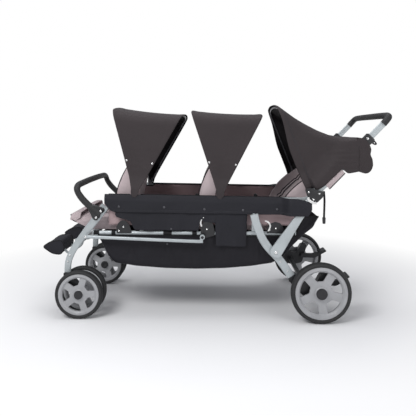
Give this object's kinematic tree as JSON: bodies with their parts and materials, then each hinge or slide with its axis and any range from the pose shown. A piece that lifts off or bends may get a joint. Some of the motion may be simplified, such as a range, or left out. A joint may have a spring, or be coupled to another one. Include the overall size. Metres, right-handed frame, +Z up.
{
  "type": "six-seat stroller",
  "caption": "Folding tube-frame stroller with three rows of two reclining seats, three hoop canopies, twin swivel front wheels, fixed rear wheels and a push handle.",
  "frame": {"origin": "on the floor under the middle of the overall box", "axes": "+Z up, +X towards the push handle at the rear, +Y to the right-hand side seen from above with the front at the left"},
  "size_m": [1.7487, 0.76, 1.0749],
  "materials": {
    "silver_tube": "satin light grey paint",
    "rim": "moulded grey plastic",
    "tyre": "matt black foam tyre",
    "canopy_cloth": "warm charcoal woven polyester",
    "cover_cloth": "near-black woven polyester",
    "basket_cloth": "near-black woven polyester",
    "seat_cloth": "pinkish light grey padded fabric with black piping",
    "foot_pad": "black padded foot plates on silver tubes",
    "grip_foam": "black foam",
    "black_plastic": "black moulded plastic",
    "steel": "dark coated steel"
  },
  "bodies": {
    "root": {"basket": "basket_cloth", "top_rail_left": "silver_tube", "top_rail_right": "silver_tube", "seat_rail_left": "silver_tube", "seat_rail_right": "silver_tube", "recline_rod_1": "steel", "recline_rod_2": "steel", "recline_rod_3": "steel", "front_seat_tube": "silver_tube", "seat_cushion_1": "seat_cloth", "seat_cushion_2": "seat_cloth", "seat_cushion_3": "seat_cloth", "side_cover_left": "cover_cloth", "side_cover_right": "cover_cloth", "canopy_1_rear_bow": "steel", "canopy_2_rear_bow": "steel", "canopy_1_cloth": "canopy_cloth", "canopy_2_cloth": "canopy_cloth", "canopy_3_cloth": "canopy_cloth"},
    "front_legs": {"front_leg_left": "silver_tube", "front_leg_right": "silver_tube", "front_cross_tube": "silver_tube", "footrest_left": "foot_pad", "footrest_right": "foot_pad", "front_grip": "grip_foam"},
    "rear_legs": {"rear_leg_left": "silver_tube", "rear_leg_right": "silver_tube", "rear_axle_beam": "black_plastic"},
    "links": {"lower_link_left": "silver_tube", "lower_link_right": "silver_tube"},
    "struts": {"rear_strut_left": "silver_tube", "rear_strut_right": "silver_tube"},
    "handle": {"handle_arm_left": "silver_tube", "handle_arm_right": "silver_tube"},
    "handle_top": {"handle_grip": "grip_foam"},
    "canopy_1_bow": {"canopy_1_front_bow": "steel"},
    "canopy_2_bow": {"canopy_2_front_bow": "steel"},
    "canopy_3_front": {"canopy_3_bow": "steel"},
    "back_1_left": {"seat_back_1_left": "seat_cloth"},
    "back_1_right": {"seat_back_1_right": "seat_cloth"},
    "back_2_left": {"seat_back_2_left": "seat_cloth"},
    "back_2_right": {"seat_back_2_right": "seat_cloth"},
    "back_3_left": {"seat_back_3_left": "seat_cloth"},
    "back_3_right": {"seat_back_3_right": "seat_cloth"},
    "caster_body_left": {"caster_left": "black_plastic"},
    "front_wheel_left_outer": {"front_left_outer_tyre": "tyre", "front_left_outer_rim": "rim"},
    "front_wheel_left_inner": {"front_left_inner_tyre": "tyre", "front_left_inner_rim": "rim"},
    "rear_wheel_left": {"rear_left_tyre": "tyre", "rear_left_rim": "rim"},
    "pedal_left": {"brake_pedal_left": "black_plastic"},
    "caster_body_right": {"caster_right": "black_plastic"},
    "front_wheel_right_outer": {"front_right_outer_tyre": "tyre", "front_right_outer_rim": "rim"},
    "front_wheel_right_inner": {"front_right_inner_tyre": "tyre", "front_right_inner_rim": "rim"},
    "rear_wheel_right": {"rear_right_tyre": "tyre", "rear_right_rim": "rim"},
    "pedal_right": {"brake_pedal_right": "black_plastic"}
  },
  "joints": [
    {"name": "rear_leg_fold", "type": "hinge", "parent": "root", "child": "rear_legs", "pos_m": [0.19, 0, 0.512], "axis": [0, 1, 0], "range_deg": [0, 60]},
    {"name": "front_leg_fold", "type": "hinge", "parent": "root", "child": "front_legs", "pos_m": [-0.552, 0, 0.546], "axis": [0, 1, 0], "range_deg": [0, 36]},
    {"name": "link_swing", "type": "hinge", "parent": "front_legs", "child": "links", "pos_m": [-0.643, 0, 0.403], "axis": [0, 1, 0], "range_deg": [-36, 0]},
    {"name": "strut_swing", "type": "hinge", "parent": "rear_legs", "child": "struts", "pos_m": [0.295, 0, 0.335], "axis": [0, 1, 0], "range_deg": [-60, 0]},
    {"name": "handle_fold", "type": "hinge", "parent": "root", "child": "handle", "pos_m": [0.473, 0, 0.605], "axis": [0, 1, 0], "range_deg": [-75, 0], "deforming": ["canopy_3_cloth"]},
    {"name": "handle_slide", "type": "slide", "parent": "handle", "child": "handle_top", "axis": [0.6984, 0, 0.7157], "range_m": [-0.04, 0]},
    {"name": "canopy_1_fold", "type": "hinge", "parent": "root", "child": "canopy_1_bow", "pos_m": [-0.404, 0, 0.612], "axis": [0, 1, 0], "range_deg": [0, 40], "deforming": ["canopy_1_cloth"]},
    {"name": "canopy_2_fold", "type": "hinge", "parent": "root", "child": "canopy_2_bow", "pos_m": [0.023, 0, 0.604], "axis": [0, 1, 0], "range_deg": [0, 40], "deforming": ["canopy_2_cloth"]},
    {"name": "canopy_3_fold", "type": "hinge", "parent": "root", "child": "canopy_3_front", "pos_m": [0.482, 0, 0.64], "axis": [0, 1, 0], "range_deg": [0, 55], "deforming": ["canopy_3_cloth"]},
    {"name": "recline_1_left", "type": "hinge", "parent": "root", "child": "back_1_left", "pos_m": [-0.464, 0, 0.443], "axis": [0, 1, 0], "range_deg": [-20, 0]},
    {"name": "recline_1_right", "type": "hinge", "parent": "root", "child": "back_1_right", "pos_m": [-0.464, 0, 0.443], "axis": [0, 1, 0], "range_deg": [-20, 0]},
    {"name": "recline_2_left", "type": "hinge", "parent": "root", "child": "back_2_left", "pos_m": [-0.042, 0, 0.443], "axis": [0, 1, 0], "range_deg": [-20, 0]},
    {"name": "recline_2_right", "type": "hinge", "parent": "root", "child": "back_2_right", "pos_m": [-0.042, 0, 0.443], "axis": [0, 1, 0], "range_deg": [-20, 0]},
    {"name": "recline_3_left", "type": "hinge", "parent": "root", "child": "back_3_left", "pos_m": [0.3, 0, 0.443], "axis": [0, 1, 0], "range_deg": [-18, 0]},
    {"name": "recline_3_right", "type": "hinge", "parent": "root", "child": "back_3_right", "pos_m": [0.3, 0, 0.443], "axis": [0, 1, 0], "range_deg": [-18, 0]},
    {"name": "caster_left_swivel", "type": "hinge", "parent": "front_legs", "child": "caster_body_left", "pos_m": [-0.744, -0.275, 0.2], "axis": [0, 0, 1], "continuous": true},
    {"name": "front_left_outer_spin", "type": "hinge", "parent": "caster_body_left", "child": "front_wheel_left_outer", "pos_m": [-0.675, -0.275, 0.119], "axis": [0, 1, 0], "continuous": true},
    {"name": "front_left_inner_spin", "type": "hinge", "parent": "caster_body_left", "child": "front_wheel_left_inner", "pos_m": [-0.675, -0.275, 0.119], "axis": [0, 1, 0], "continuous": true},
    {"name": "rear_left_spin", "type": "hinge", "parent": "rear_legs", "child": "rear_wheel_left", "pos_m": [0.51, -0.35, 0.146], "axis": [0, 1, 0], "continuous": true},
    {"name": "brake_left", "type": "hinge", "parent": "rear_legs", "child": "pedal_left", "pos_m": [0.53, -0.27, 0.172], "axis": [0, 1, 0], "range_deg": [-18, 0]},
    {"name": "caster_right_swivel", "type": "hinge", "parent": "front_legs", "child": "caster_body_right", "pos_m": [-0.744, 0.275, 0.2], "axis": [0, 0, 1], "continuous": true},
    {"name": "front_right_outer_spin", "type": "hinge", "parent": "caster_body_right", "child": "front_wheel_right_outer", "pos_m": [-0.675, 0.275, 0.119], "axis": [0, 1, 0], "continuous": true},
    {"name": "front_right_inner_spin", "type": "hinge", "parent": "caster_body_right", "child": "front_wheel_right_inner", "pos_m": [-0.675, 0.275, 0.119], "axis": [0, 1, 0], "continuous": true},
    {"name": "rear_right_spin", "type": "hinge", "parent": "rear_legs", "child": "rear_wheel_right", "pos_m": [0.51, 0.35, 0.146], "axis": [0, 1, 0], "continuous": true},
    {"name": "brake_right", "type": "hinge", "parent": "rear_legs", "child": "pedal_right", "pos_m": [0.53, 0.27, 0.172], "axis": [0, 1, 0], "range_deg": [-18, 0]}
  ],
  "couplings": [
    {"joint": "front_leg_fold", "follows": "rear_leg_fold", "ratio": 0.6},
    {"joint": "link_swing", "follows": "rear_leg_fold", "ratio": -0.6},
    {"joint": "strut_swing", "follows": "rear_leg_fold", "ratio": -1}
  ]
}
